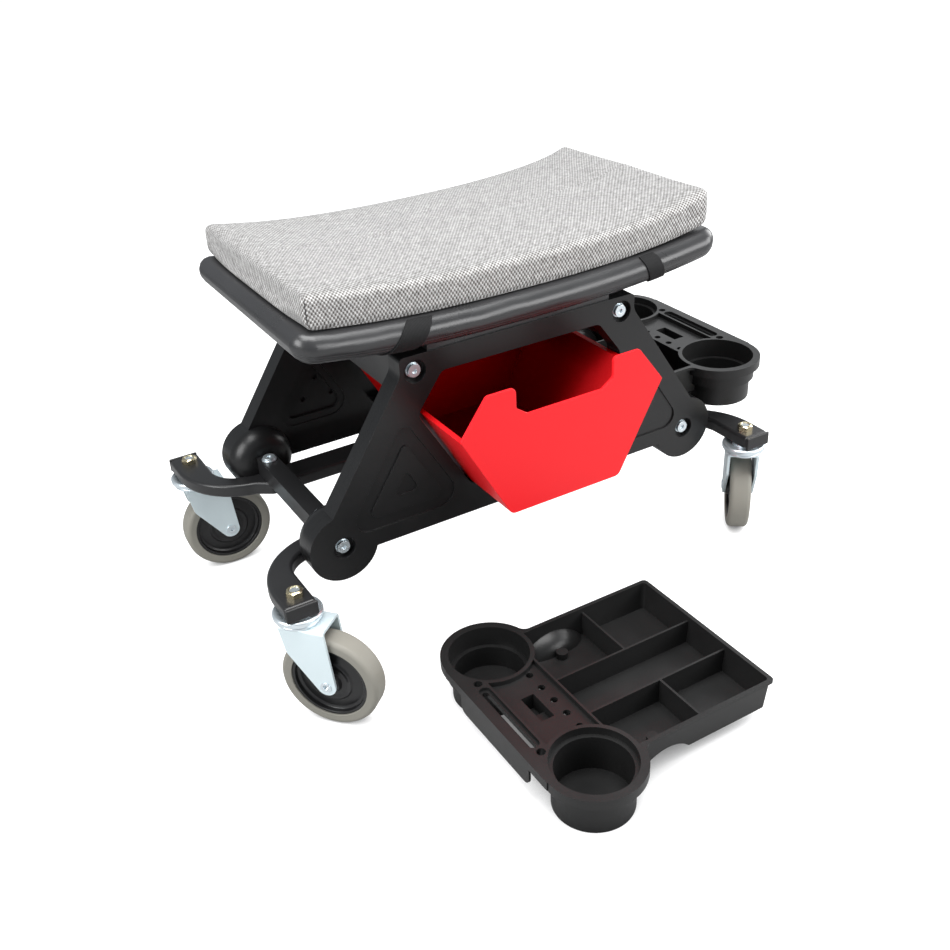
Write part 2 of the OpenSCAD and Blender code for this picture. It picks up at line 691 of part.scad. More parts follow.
back_points = [[bin_top_x, bin_back_z], [-bin_top_x, bin_back_z], [-bin_mid_x, bin_mid_z],
    [-bin_low_x, bin_low_z], [bin_low_x, bin_low_z], [bin_mid_x, bin_mid_z]];
back_radii = [bin_ear_r, bin_ear_r, bin_side_r, bin_low_r, bin_low_r, bin_side_r];

module tool_bin() {
    back_y = bin_front_y + bin_len;
    color([0.82, 0.05, 0.05]) difference() {
        union() {
            between_y(bin_front_y, back_y) polygon(rounded(trough_points, [0, bin_low_r, bin_low_r, 0]));
            between_y(bin_front_y, bin_front_y + bin_plate_t) polygon(rounded(front_points, front_radii));
            between_y(back_y - bin_plate_t, back_y) polygon(rounded(back_points, back_radii));
        }
        between_y(bin_front_y + bin_plate_t, back_y - bin_plate_t)
            polygon(rounded([trough_in[0] + [0, 2 * bin_wall], trough_in[1], trough_in[2],
                trough_in[3] + [0, 2 * bin_wall]], [0, bin_low_r - bin_wall, bin_low_r - bin_wall, 0]));
    }
}

// Trays: two cups, a tool deck between them and a divided basin, the mouths all at one rim.
// u runs from the cups' centre line towards the basin, v across.
tray_hub_u = 76.5;             // a hub's centre, from the cups' centre line
tray_hub_z = -9;               // and from the tray's underside
dome_fit = 0.4;
bulge_wider = 10;              // the tray's own dome over the hub's dome
bulge_taller = 4;
bulge_rib_pitch = 15;
bulge_ribs = 3;
lip_t = 3;
lip_over = 2;
rim_t = 10;
tray_corner_r = 5;
inside_corner_r = 4;
cup_floor_t = 2.4;
cup_step_d = [22, 8];          // depth of a cup's wide mouth, the far cup and the near one
cup_ring_w = 4;                // ring round each cup's mouth, on the deck
neck_r = 12;                   // fillet between a cup's rim and the basin's lip
neck_sunk = 0.4;
neck_steps = 6;
basin_z = tray_h - tray_deep - tray_wall;
basin_taper = 2.4;
inside_taper = 2;
basin_start = 30;
deck_over = 1;
deck_end = -cup_rim_r - deck_over;
deck_t = 4;
deck_drop = 5;
ridge_w = 25;
div_rear = 21.5;
div_front = -32;
div_cross = 115;
div_drop = 5;
hole_r = 3.7;
hole_u = 17.5;
hole_pitch = 20.6;
hole_count = 5;
end_hole_r = 4.3;
end_hole_v = 53;
end_hole_u = -32.5;
slot_half = 43;
slot_w = 6;
slot_rim_half = 46;            // wider mouth of the slot
slot_rim_w = 12;
slot_rim_d = 3.5;
pocket_half = 17.5;
pocket_w = 14;
pocket_u = -1;
pocket_d = [9, 17];            // depth of the pocket's two halves below the deck
boss_r = 6;
boss_h = 7;
boss_v = 72;
tongue_half = 58;
tongue_z = 20;
tongue_r = 8;

// box with rounded upright corners, drawn in by taper at its foot
module basin(u_from, u_to, side, z_from, z_to, taper, r) {
    high = [[u_from, -side], [u_to, -side], [u_to, side], [u_from, side]];
    radii = [r, r, r, r];
    loft(rounded(inset(high, taper), radii), z_from, rounded(high, radii), z_to);
}
module cups(r, z_from, z_to) {
    both_y() rod_z(r, z_from, z_to, 0, cup_y);
}
// the wide mouths of the two cups, or their walls
module mouths(r, below, z_to) {
    rod_z(r, tray_h - cup_step_d[0] - below, z_to, 0, cup_y);
    rod_z(r, tray_h - cup_step_d[1] - below, z_to, 0, -cup_y);
}
// fills the corner between a cup's rim and the basin's lip
module neck() {
    mid_v = tray_y + neck_r - neck_sunk;
    rise = mid_v - cup_y;
    reach = sqrt(pow(cup_rim_r + neck_r - neck_sunk, 2) - rise * rise);
    polygon(concat([[0, cup_y]], arc([reach, mid_v], neck_r, 180 + atan2(rise, reach), 270, neck_steps),
        [[reach, cup_y]]));
}
module hub_domes(wider, taller) {
    both_y() translate([tray_hub_u, panel_in_y, tray_hub_z]) dome(wider, taller);
}
// upright opening with round ends, along v
module long_hole(u, half, width, z_from) {
    r = width / 2 - bolt_fit;
    translate([0, 0, z_from]) linear_extrude(tray_h + cut - z_from)
        polygon(rounded([[u - width / 2, -half], [u + width / 2, -half], [u + width / 2, half],
            [u - width / 2, half]], [r, r, r, r]));
}
// small pocket in the deck, one half deeper, or the tub round it
module pocket(wider, deeper, z_to) {
    deck_z = tray_h - deck_drop;
    side = pocket_w / 2 + wider;
    for (k = [0, 1]) {
        translate([pocket_u - side, k * pocket_half - pocket_half - wider, deck_z - pocket_d[k] - deeper])
            cube([2 * side, pocket_half + 2 * wider, z_to - deck_z + pocket_d[k] + deeper]);
    }
}
module tray_plan() {
    both_y() translate([0, cup_y]) circle(r = cup_rim_r);
    translate([deck_end, -cup_y]) square([-deck_end + basin_start + lip_t, 2 * cup_y]);
    polygon(rounded([[basin_start, -tray_y], [tray_len, -tray_y], [tray_len, tray_y], [basin_start, tray_y]],
        [0, tray_corner_r, tray_corner_r, 0]));
    neck();
    mirror([0, 1]) neck();
}
module compartments() {
    side = tray_y - lip_over - tray_wall;
    near = basin_start + tray_wall;
    far = tray_len - lip_over - tray_wall;
    floor_z = basin_z + tray_wall;
    div_top = tray_h - div_drop;
    difference() {
        basin(near, far, side, floor_z, tray_h + cut, inside_taper, inside_corner_r);
        for (v = [div_rear, div_front]) {
            translate([near - cut, v - tray_wall / 2, 0]) cube([far - near + 2 * cut, tray_wall, div_top]);
        }
        translate([div_cross, div_rear, 0]) cube([tray_wall, side - div_rear, div_top]);
        translate([div_cross, -side, 0]) cube([tray_wall, side + div_front, div_top]);
        cups(cup_r + 2 * tray_wall, -cut, tray_h + 2 * cut);
        hub_domes(bulge_wider, bulge_taller);
        both_y() rod_z(boss_r, -cut, floor_z + boss_h, tray_hub_u, boss_v);
    }
}
// hollow behind each bulge, behind the side wall, crossed by ribs that rest on the hub's dome
module bulge_hollows() {
    side = tray_y - lip_over - basin_taper - tray_wall;
    both_y() difference() {
        intersection() {
            translate([tray_hub_u, panel_in_y, tray_hub_z])
                dome(bulge_wider - tray_wall, bulge_taller - tray_wall);
            translate([0, 0, -cut]) cube([tray_len, side, tray_h]);
        }
        for (k = [0 : bulge_ribs - 1]) {
            rib_u = tray_hub_u + (k - (bulge_ribs - 1) / 2) * bulge_rib_pitch;
            translate([rib_u - tray_wall / 2, 0, -2 * cut]) cube([tray_wall, tray_y, tray_h + 2 * cut]);
        }
    }
}
module tray() {
    deck_z = tray_h - deck_drop;
    color([0.1, 0.1, 0.11]) difference() {
        union() {
            translate([0, 0, tray_h - lip_t]) linear_extrude(lip_t) tray_plan();
            basin(basin_start, tray_len - lip_over, tray_y - lip_over, basin_z, tray_h - cut, basin_taper,
                tray_corner_r);
            cups(cup_rim_r, tray_h - rim_t, tray_h);
            mouths(cup_r + tray_wall, tray_wall, tray_h);
            cups(cup_low_r + tray_wall, 0, tray_h);
            translate([deck_end, -cup_y, deck_z - deck_t])
                cube([basin_start + tray_wall - deck_end, 2 * cup_y, deck_drop + deck_t]);
            pocket(tray_wall, tray_wall, deck_z);
            translate([deck_end, 0, 0]) rotate([90, 0, 90]) linear_extrude(tray_wall)
                polygon(rounded([[-tongue_half, tray_h - cut], [-tongue_half, tongue_z],
                    [tongue_half, tongue_z], [tongue_half, tray_h - cut]], [0, tongue_r, tongue_r, 0]));
        }
        mouths(cup_r, 0, tray_h + cut);
        cups(cup_low_r, cup_floor_t, tray_h);
        compartments();
        hub_domes(dome_fit, dome_fit);
        bulge_hollows();
        difference() {
            translate([deck_end + ridge_w, -cup_y, deck_z])
                cube([basin_start - ridge_w - deck_end, 2 * cup_y, deck_drop + cut]);
            cups(cup_r + cup_ring_w, 0, tray_h + 2 * cut);
        }
        for (k = [0 : hole_count - 1]) {
            rod_z(hole_r, 0, tray_h, hole_u, (k - (hole_count - 1) / 2) * hole_pitch);
        }
        both_y() rod_z(end_hole_r, 0, tray_h + cut, end_hole_u, end_hole_v);
        long_hole(end_hole_u, slot_half, slot_w, 0);
        long_hole(end_hole_u, slot_rim_half, slot_rim_w, tray_h - slot_rim_d);
        pocket(0, 0, deck_z + cut);
    }
}
tray_x = hub_x + tray_hub_u;
tray_z = hub_z - tray_hub_z;
spare_x = -115;
spare_y = -311;
module end_tray() {
    translate([tray_x, 0, tray_z]) rotate(180) tray();
}
module spare_tray() {
    translate([spare_x, spare_y, 0]) tray();
}

// Seat board: a thick moulded plank with round noses, its ends turned up
board_gap = 5;
board_power = 2.5;
board_corner_r = 20;
board_edge_half = 0.5;
board_spans = 12;
nose_r = board_t / 2;
nose_steps = 10;
corner_steps = 5;
board_wall = 3.5;
board_rib = 3;
pocket_end = 24;               // from the board's end to the hollow below it
pocket_side = 17;
rib_x_shares = [-0.75, -0.5, -0.25, 0, 0.25, 0.5, 0.75];
rib_y_shares = [-0.4, 0, 0.4];
pad_x = 104;
pad_w = 18;
seat_screw_in = 2;
seat_screw_x = top_bolt_x - seat_screw_in;
seat_boss_r = 7;

// shares of a corner's depth, closer together towards the very end
function corner_shares(n) = [for (k = [0 : n]) 1 - cos(90 * k / n)];
// places along half of the seat from its end to near the middle, then mirrored
function half_places(half, depth, spans) = concat([for (s = corner_shares(corner_steps)) depth * s],
    [for (k = [1 : spans - 1]) depth + (half - depth) * k / spans]);
function all_places(half, depth, spans) = let (side = half_places(half, depth, spans), n = len(side))
    concat([for (d = side) d - half], [0], [for (i = [n - 1 : -1 : 0]) half - side[i]]);
// how far a rounded edge of radius r stands back at a distance d from the end
function round_back(d, r) = d >= r ? 0 : r - sqrt(max(r * r - pow(r - d, 2), 0));

function board_mid_z(x) = panel_top_z + board_gap + nose_r + board_rise * pow(abs(x) / board_x, board_power);
function board_ring(x, d) =
    let (t = max(nose_r - round_back(d, nose_r), board_edge_half),
         w = board_y - round_back(d, board_corner_r) - t, z = board_mid_z(x))
    [for (side = [1, -1]) for (k = [0 : nose_steps])
        let (a = side * (90 - 180 * k / nose_steps))
        [x, side * (w + t * cos(a)), z + t * sin(a)]];

// hollow of the board, open below, its roof follows the seat
module board_hollow() {
    half = board_x - pocket_end;
    side = board_y - pocket_side;
    difference() {
        rings([for (k = [-board_spans : board_spans]) let (x = half * k / board_spans,
            roof = board_mid_z(x) + nose_r - board_wall)
            [[x, side, roof], [x, side, panel_top_z], [x, -side, panel_top_z], [x, -side, roof]]]);
        for (s = rib_x_shares) {
            translate([s * half - board_rib / 2, -board_y, panel_top_z])
                cube([board_rib, 2 * board_y, board_rise + 2 * board_t]);
        }
        for (s = rib_y_shares) {
            translate([-board_x, s * side - board_rib / 2, panel_top_z])
                cube([2 * board_x, board_rib, board_rise + 2 * board_t]);
        }
        both_x() both_y() rod_z(seat_boss_r, panel_top_z, panel_top_z + board_gap + board_t,
            seat_screw_x, seat_screw_y);
    }
}
module seat_board() {
    color([0.08, 0.08, 0.09]) difference() {
        union() {
            difference() {
                rings([for (x = all_places(board_x, board_corner_r, board_spans))
                    board_ring(x, board_x - abs(x))]);
                board_hollow();
            }
            both_y() translate([-pad_x, panel_seam_y - pad_w / 2, panel_top_z])
                cube([2 * pad_x, pad_w, board_gap + board_wall]);
            both_x() both_y() rod_z(seat_boss_r, panel_top_z, panel_top_z + board_gap + nose_r,
                seat_screw_x, seat_screw_y);
        }
        both_x() both_y() rod_z(seat_screw_r + bolt_fit, panel_top_z - cut,
            panel_top_z + seat_screw_grip + cut, seat_screw_x, seat_screw_y);
    }
}

// Cushion: foam in a woven cover, crowned, its sides drawn in between the corners
cushion_gap = 0.3;
cushion_draw = 3;
cushion_draw_power = 4;
cushion_corner_r = 12;
cushion_edge_r = 8;
cushion_foot_r = 4;
cushion_steps = 5;
cushion_spans = 10;
crown_steps = 5;

function cushion_half_y(x) = cushion_y - cushion_draw * (1 - pow(x / cushion_x, cushion_draw_power))
    - round_back(cushion_x - abs(x), cushion_corner_r);
// quarter round of radius r about a point in Y and Z, from one angle to another
function quarter(x, y, z, r, from) = [for (k = [0 : cushion_steps])
    let (a = from + 90 * k / cushion_steps) [x, y + r * cos(a), z + r * sin(a)]];
function cushion_ring(x) =
    let (d = cushion_x - abs(x), w = cushion_half_y(x), r = cushion_edge_r, f = cushion_foot_r,
         seat_z = board_mid_z(x) + nose_r + cushion_gap,
         foot = seat_z + round_back(d, f) + f, top = seat_z + cushion_t - round_back(d, r) - r,
         crown = cushion_crown * (1 - pow(x / cushion_x, 2)))
    concat(quarter(x, w - f, foot, f, -90), quarter(x, w - r, top, r, 0),
        [for (k = [1 - crown_steps : crown_steps - 1]) let (s = -k / crown_steps)
            [x, s * (w - r), top + r + crown * (1 - s * s)]],
        quarter(x, r - w, top, r, 90), quarter(x, f - w, foot, f, 180));

module seat_cushion() {
    color([0.72, 0.71, 0.7]) rings([for (x = all_places(cushion_x, cushion_corner_r, cushion_spans))
        cushion_ring(x)]);
}

// Straps: elastic bands sewn below the cushion's edge, they pass round the board's noses and under it
strap_t = 1.2;
strap_gap = 0.3;
left_strap_top_x = -109;
left_strap_low_x = -141;
right_strap_top_x = 141;
right_strap_low_x = 159;
strap_gather_share = 0.75;     // the right strap has crept together
strap_start_share = 0.035;
strap_steps = 10;
// places round a nose as shares of its half circle, from the cushion's edge to the underside
strap_turn_shares = [for (k = [0 : strap_steps])
    strap_start_share + (1 - strap_start_share) * k / strap_steps];
function strap_ring(top_x, low_x, wide, side, share) =
    let (a = 90 - 180 * share, x = top_x + (low_x - top_x) * share, w = board_y - nose_r,
         near = nose_r + strap_gap, far = near + strap_t)
    [for (p = [[-1, near], [1, near], [1, far], [-1, far]])
        let (px = x + p[0] * wide / 2)
        [px, side * (w + p[1] * cos(a)), board_mid_z(px) + p[1] * sin(a)]];
module strap(top_x, low_x, wide) {
    color([0.07, 0.07, 0.08]) rings(concat(
        [for (s = strap_turn_shares) strap_ring(top_x, low_x, wide, -1, s)],
        [for (i = [strap_steps : -1 : 0]) strap_ring(top_x, low_x, wide, 1, strap_turn_shares[i])]));
}
module strap_left() {
    strap(left_strap_top_x, left_strap_low_x, strap_w);
}
module strap_right() {
    strap(right_strap_top_x, right_strap_low_x, strap_w * strap_gather_share);
}

seat_cushion();
strap_left();
strap_right();
seat_board();
panel_front_outer();
panel_front_inner();
panel_rear_outer();
panel_rear_inner();
frame_bolts();
frame_washers();
top_bar_left();
top_bar_right();
low_bar_left();
low_bar_right();
seat_screws();
rail_screws();
rail_front();
rail_rear();
rail_caps();
caster_nuts();
tool_bin();
end_tray();
spare_tray();
stem_fl();
bearing_fl();
fork_fl();
axle_fl();
wheel_fl();
tyre_fl();
stem_fr();
bearing_fr();
fork_fr();
axle_fr();
wheel_fr();
tyre_fr();
stem_rl();
bearing_rl();
fork_rl();
axle_rl();
wheel_rl();
tyre_rl();
stem_rr();
bearing_rr();
fork_rr();
axle_rr();
wheel_rr();
tyre_rr();
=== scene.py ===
import json
import math
import bmesh
import bpy
from mathutils import Matrix, Vector

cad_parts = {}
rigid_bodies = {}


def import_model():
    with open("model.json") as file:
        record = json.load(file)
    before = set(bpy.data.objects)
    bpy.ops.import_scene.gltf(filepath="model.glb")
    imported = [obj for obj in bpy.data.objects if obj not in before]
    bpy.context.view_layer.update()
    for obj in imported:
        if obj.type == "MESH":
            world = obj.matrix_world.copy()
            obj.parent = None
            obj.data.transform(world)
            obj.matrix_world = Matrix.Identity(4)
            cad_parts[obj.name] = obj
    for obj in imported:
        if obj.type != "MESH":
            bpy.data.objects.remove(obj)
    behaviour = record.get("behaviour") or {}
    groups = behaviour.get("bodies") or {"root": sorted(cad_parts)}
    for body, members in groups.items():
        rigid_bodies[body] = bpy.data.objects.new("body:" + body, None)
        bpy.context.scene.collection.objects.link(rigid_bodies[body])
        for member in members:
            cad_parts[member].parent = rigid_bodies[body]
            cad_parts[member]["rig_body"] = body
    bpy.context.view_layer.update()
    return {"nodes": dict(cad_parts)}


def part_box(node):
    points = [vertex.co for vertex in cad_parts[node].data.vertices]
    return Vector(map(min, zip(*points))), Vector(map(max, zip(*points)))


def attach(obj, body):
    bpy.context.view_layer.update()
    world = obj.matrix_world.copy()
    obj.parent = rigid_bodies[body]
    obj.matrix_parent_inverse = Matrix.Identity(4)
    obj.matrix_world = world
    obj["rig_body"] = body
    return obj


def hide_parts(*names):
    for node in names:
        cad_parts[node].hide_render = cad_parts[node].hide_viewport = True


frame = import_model()
nodes = frame["nodes"]
scene = bpy.context.scene
scene.view_settings.view_transform = "Standard"

# The studio: a camera from the front left and a little above the seat, with a normal lens that
# takes in the seat and the loose tray; four large soft boxes above, left, in front and right,
# and two weak ones that lift the fitted tray and the seat's right-hand end.
lens = bpy.data.cameras.new("studio_camera")
lens.lens = 42.34
lens.sensor_width = 36
camera = bpy.data.objects.new("studio_camera", lens)
scene.collection.objects.link(camera)
eye = (-0.53718, -0.96357, 0.74966)
to_right = Vector((0.85632, -0.51442, -0.04577))
to_top = Vector((0.29506, 0.41456, 0.86086))
turn = Matrix((to_right, to_top, to_right.cross(to_top))).transposed()
camera.matrix_world = Matrix.Translation(eye) @ turn.to_4x4()
scene.camera = camera


def softbox(name, place, aim, size, power):
    lamp = bpy.data.lights.new(name, "AREA")
    lamp.shape = "RECTANGLE"
    lamp.size, lamp.size_y = size
    lamp.energy = power
    box = bpy.data.objects.new(name, lamp)
    box.location = place
    box.rotation_euler = (Vector(aim) - Vector(place)).to_track_quat("-Z", "Y").to_euler()
    scene.collection.objects.link(box)


softbox("box_above", (-0.1, -0.3, 1.7), (0, -0.05, 0.2), (1.5, 1.0), 38)
softbox("box_left", (-1.6, -0.3, 1.0), (0, 0, 0.25), (0.9, 1.1), 24)
softbox("box_front", (1.0, -1.75, 0.8), (0.1, 0, 0.2), (1.2, 0.8), 19)
softbox("box_right", (1.6, 0.1, 0.9), (0.1, 0, 0.25), (0.8, 1.0), 15)
softbox("box_tray", (0.95, -0.55, 0.55), (0.3, 0, 0.25), (0.45, 0.45), 4)
softbox("box_back", (0.95, 1.15, 1.0), (0.25, 0, 0.22), (1.0, 0.8), 3.2)


# The white sweep below and behind the seat: plain white to the camera, with a painted contact
# shadow where the product stands close above it, and a dull white to everything that it lights.
def chain(tree, kind, inputs=None, **settings):
    # a new node of that kind; each input is a value or another node's output
    node = tree.nodes.new(kind)
    for key, value in settings.items():
        setattr(node, key, value)
    for key, value in (inputs or {}).items():
        if isinstance(value, bpy.types.NodeSocket):
            tree.links.new(value, node.inputs[key])
        else:
            node.inputs[key].default_value = value
    return node


def ranged(tree, value, start, end, low=0.0, high=1.0, **settings):
    # the value brought from start..end to low..high, and held there
    return chain(tree, "ShaderNodeMapRange",
                 {"Value": value, "From Min": start, "From Max": end,
                  "To Min": low, "To Max": high}, **settings).outputs["Result"]


def by_ray(tree, share, lighting, looking):
    # one shader for the rays that light the product, another for those of the camera
    return chain(tree, "ShaderNodeMixShader",
                 {0: share, 1: lighting.outputs[0], 2: looking.outputs[0]}).outputs[0]


sweep_half = 6
sweep = bmesh.new()
bmesh.ops.create_grid(sweep, x_segments=1, y_segments=1, size=sweep_half)
floor_data = bpy.data.meshes.new("floor")
sweep.to_mesh(floor_data)
sweep.free()
floor = bpy.data.objects.new("floor", floor_data)
scene.collection.objects.link(floor)
white_floor = bpy.data.materials.new("white_floor")
white_floor.use_nodes = True
tree = white_floor.node_tree
tree.nodes.clear()
matt = chain(tree, "ShaderNodeBsdfDiffuse", {"Color": (0.42, 0.42, 0.42, 1)})
# painted contact shadow: ambient occlusion dims the floor's white glow to the camera near the
# product, over the real shadow in its matt part
near = chain(tree, "ShaderNodeAmbientOcclusion", {"Distance": 0.07}, samples=16)
painted_shadow_glow_share = ranged(tree, near.outputs["AO"], 0.05, 0.75, 0.1, interpolation_type="SMOOTHSTEP")
lift = chain(tree, "ShaderNodeEmission", {"Color": (1, 1, 1, 1), "Strength": painted_shadow_glow_share})
seen = chain(tree, "ShaderNodeAddShader", {0: matt.outputs[0], 1: lift.outputs[0]})
path = chain(tree, "ShaderNodeLightPath")
chain(tree, "ShaderNodeOutputMaterial",
      {"Surface": by_ray(tree, path.outputs["Is Camera Ray"], matt, seen)})
floor_data.materials.append(white_floor)

world = bpy.data.worlds.new("studio_air")
world.use_nodes = True
scene.world = world
tree = world.node_tree
tree.nodes.clear()
air = chain(tree, "ShaderNodeBackground", {"Color": (0.9, 0.95, 1, 1), "Strength": 0.36})
bright = chain(tree, "ShaderNodeBackground", {"Color": (1, 1, 1, 1), "Strength": 1.05})
path = chain(tree, "ShaderNodeLightPath")
white_ray = chain(tree, "ShaderNodeMath",
                  {0: path.outputs["Is Camera Ray"], 1: path.outputs["Is Transmission Ray"]},
                  operation="MAXIMUM").outputs[0]
chain(tree, "ShaderNodeOutputWorld", {"Surface": by_ray(tree, white_ray, air, bright)})


# Side panels: two moulded shells each, satin black plastic with a fine grain and a soft edge
# all round; the joint between the shells shows as a line on the edge.
def material(name, colour, roughness, metallic=0.0, specular=0.5):
    made = bpy.data.materials.new(name + "_look")
    made.use_nodes = True
    shader = made.node_tree.nodes["Principled BSDF"]
    shader.inputs["Base Color"].default_value = (*colour, 1)
    shader.inputs["Roughness"].default_value = roughness
    shader.inputs["Metallic"].default_value = metallic
    shader.inputs["Specular IOR Level"].default_value = specular
    return made, made.node_tree, shader


def noise(tree, where, scale, detail, roughness=0.5):
    return chain(tree, "ShaderNodeTexNoise",
                 {"Vector": where, "Scale": scale, "Detail": detail,
                  "Roughness": roughness}).outputs["Fac"]


def blend(tree, share, first, second):
    return chain(tree, "ShaderNodeMix", {0: share, 6: first, 7: second},
                 data_type="RGBA").outputs[2]


def surface(tree, shader, grain, depth, spread, tint=0.0):
    # grain: fine bump of that scale; spread: patches of higher and lower roughness; tint: of
    # paler and darker colour
    patch_scale, bump_height = 11, 0.0003
    where = chain(tree, "ShaderNodeTexCoord").outputs["Object"]
    bump = chain(tree, "ShaderNodeBump", {"Height": noise(tree, where, grain, 3),
                                          "Strength": depth, "Distance": bump_height})
    tree.links.new(bump.outputs["Normal"], shader.inputs["Normal"])
    patch = noise(tree, where, patch_scale, 5, 0.6)
    rough = shader.inputs["Roughness"].default_value
    worn = ranged(tree, patch, 0.3, 0.7, rough - spread, rough + spread)
    tree.links.new(worn, shader.inputs["Roughness"])
    if tint:
        base = tuple(shader.inputs["Base Color"].default_value)
        darker = tuple(c * (1 - tint) for c in base[:3]) + (1,)
        lighter = tuple(min(c * (1 + tint), 1) for c in base[:3]) + (1,)
        tree.links.new(blend(tree, patch, darker, lighter), shader.inputs["Base Color"])


def softened(node, finish, edge, segments=2, angle=32, flat=0.6, hollow=None, shortest=0.0):
    # the piece of that node with its edges rounded: edge is the width of the rounding, angle
    # the least turn that counts as an edge, flat the turn below which faces are joined;
    # hollow: a test for corners of a closed cavity, left out; shortest: of the edges rounded
    weld_gap, smooth_below = 2e-5, math.radians(40)
    form = bmesh.new()
    form.from_mesh(nodes[node].data)
    bmesh.ops.remove_doubles(form, verts=form.verts, dist=weld_gap)
    if hollow:
        bmesh.ops.delete(form, geom=[v for v in form.verts if hollow(v.co)], context="VERTS")
        bmesh.ops.holes_fill(form, edges=[e for e in form.edges if e.is_boundary])
    if flat:
        bmesh.ops.dissolve_limit(form, angle_limit=math.radians(flat), verts=form.verts,
                                 edges=form.edges)
    sharp = [e for e in form.edges
             if e.is_manifold and e.calc_face_angle(0) > math.radians(angle)
             and e.calc_length() > shortest]
    bmesh.ops.bevel(form, geom=sharp, offset=edge, offset_type="OFFSET", segments=segments,
                    profile=0.5, affect="EDGES", material=-1, clamp_overlap=True)
    data = bpy.data.meshes.new(node + "_piece")
    form.to_mesh(data)
    form.free()
    data.shade_smooth()
    data.set_sharp_from_angle(angle=smooth_below)
    data.materials.append(finish)
    piece = bpy.data.objects.new(node + "_piece", data)
    scene.collection.objects.link(piece)
    even = piece.modifiers.new("even_shading", "WEIGHTED_NORMAL")
    even.keep_sharp = True
    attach(piece, nodes[node]["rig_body"])
    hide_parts(node)


panel_plastic, tree, shader = material("panel_plastic", (0.0070, 0.0070, 0.0073), 0.33,
                                       specular=0.42)
surface(tree, shader, grain=700, depth=0.2, spread=0.05, tint=0.25)
for shell in ("panel_front_outer", "panel_front_inner", "panel_rear_outer", "panel_rear_inner"):
    softened(shell, panel_plastic, 0.0009, segments=3)

# Rails and cross bars: bent and straight steel tube in gloss black paint, with rounded
# edges, closed at the rails' ends by moulded caps. A corner of a rail that lies more than
# skin deep below its top and above its underside belongs to its hollow.
gloss_black, tree, shader = material("black_paint", (0.014, 0.014, 0.0147), 0.33)
surface(tree, shader, grain=240, depth=0.06, spread=0.05, tint=0.2)
rail_low, rail_high = (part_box("rail_front")[k][2] for k in (0, 1))
skin = 0.001
for tube in ("rail_front", "rail_rear"):
    softened(tube, gloss_black, 0.0036, segments=5, shortest=0.0025,
             hollow=lambda at: rail_low + skin < at.z < rail_high - skin)
for tube in ("low_bar_left", "low_bar_right", "top_bar_left", "top_bar_right"):
    softened(tube, gloss_black, 0.0020, segments=4)
cap_plastic, tree, shader = material("cap_plastic", (0.012, 0.012, 0.0125), 0.36, specular=0.4)
surface(tree, shader, grain=700, depth=0.2, spread=0.05)
softened("rail_caps", cap_plastic, 0.0014, segments=3)

# Bolts, screws and washers: bright zinc plate with the faint blue cast of its sealer;
# the nuts on the kingpins are zinc with a hint of yellow.
bright_zinc, tree, shader = material("bright_zinc", (0.73, 0.80, 0.84), 0.30, metallic=0.85)
surface(tree, shader, grain=180, depth=0.05, spread=0.08, tint=0.06)
for group in ("frame_bolts", "frame_washers", "seat_screws", "rail_screws"):
    softened(group, bright_zinc, 0.0003)
yellow_zinc, tree, shader = material("yellow_zinc", (0.72, 0.63, 0.42), 0.25, metallic=1.0)
surface(tree, shader, grain=200, depth=0.08, spread=0.07, tint=0.1)
softened("caster_nuts", yellow_zinc, 0.0003)

# Casters: folded forks and turned races in bright zinc, black moulded discs and grey rubber
# tyres on hollow rivets. The forks' sheet is duller than the turned parts.
wheel_plastic, tree, shader = material("wheel_plastic", (0.010, 0.010, 0.0105), 0.34,
                                       specular=0.45)
surface(tree, shader, grain=500, depth=0.1, spread=0.06, tint=0.2)
tyre_rubber, tree, shader = material("tyre_grey", (0.235, 0.226, 0.196), 0.55, specular=0.3)
surface(tree, shader, grain=320, depth=0.25, spread=0.08, tint=0.10)
fork_zinc, tree, shader = material("fork_zinc", (0.70, 0.80, 0.83), 0.42, metallic=0.4)
surface(tree, shader, grain=160, depth=0.05, spread=0.10, tint=0.05)
for corner in ("fl", "fr", "rl", "rr"):
    softened("fork_" + corner, fork_zinc, 0.0006)
    for part in ("stem_", "bearing_", "axle_"):
        softened(part + corner, bright_zinc, 0.0004)
    softened("wheel_" + corner, wheel_plastic, 0.0006, segments=3, angle=20)
    softened("tyre_" + corner, tyre_rubber, 0.0006, angle=36)

# The tool bin: one red moulding with soft edges. Its inside, where little light comes, and its
# back, which stands inside the seat, carry painted shade: there the red and its gleam are
# painted deep and dull.
bright_red, painted_shade_red = (0.84, 0.016, 0.022), (0.25, 0.0002, 0.0004)
bright_gleam, painted_shade_gleam = 0.24, 0.02
red_plastic, tree, shader = material("red_plastic", bright_red, 0.36, specular=bright_gleam)
surface(tree, shader, grain=600, depth=0.1, spread=0.05)
# painted shade: occlusion times a ramp that darkens towards the back blends the red into a deep
# red and its gleam into a dull one
shut_in = chain(tree, "ShaderNodeAmbientOcclusion", {"Distance": 0.12}, samples=8)
bin_front, bin_back = (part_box("tool_bin")[k][1] for k in (0, 1))
place = chain(tree, "ShaderNodeSeparateXYZ",
              {0: chain(tree, "ShaderNodeTexCoord").outputs["Object"]})
painted_light_to_front = ranged(tree, place.outputs["Y"], bin_back - 0.03, bin_front + 0.045, 0.25, 1.0)
painted_light_share = chain(tree, "ShaderNodeMath", {0: shut_in.outputs["AO"], 1: painted_light_to_front},
                  operation="MULTIPLY").outputs[0]
painted_unshaded_share = ranged(tree, painted_light_share, 0.42, 0.85)
tree.links.new(blend(tree, painted_unshaded_share, (*painted_shade_red, 1), (*bright_red, 1)),
               shader.inputs["Base Color"])
tree.links.new(ranged(tree, painted_unshaded_share, 0, 1, painted_shade_gleam, bright_gleam),
               shader.inputs["Specular IOR Level"])
softened("tool_bin", red_plastic, 0.0009, segments=3)

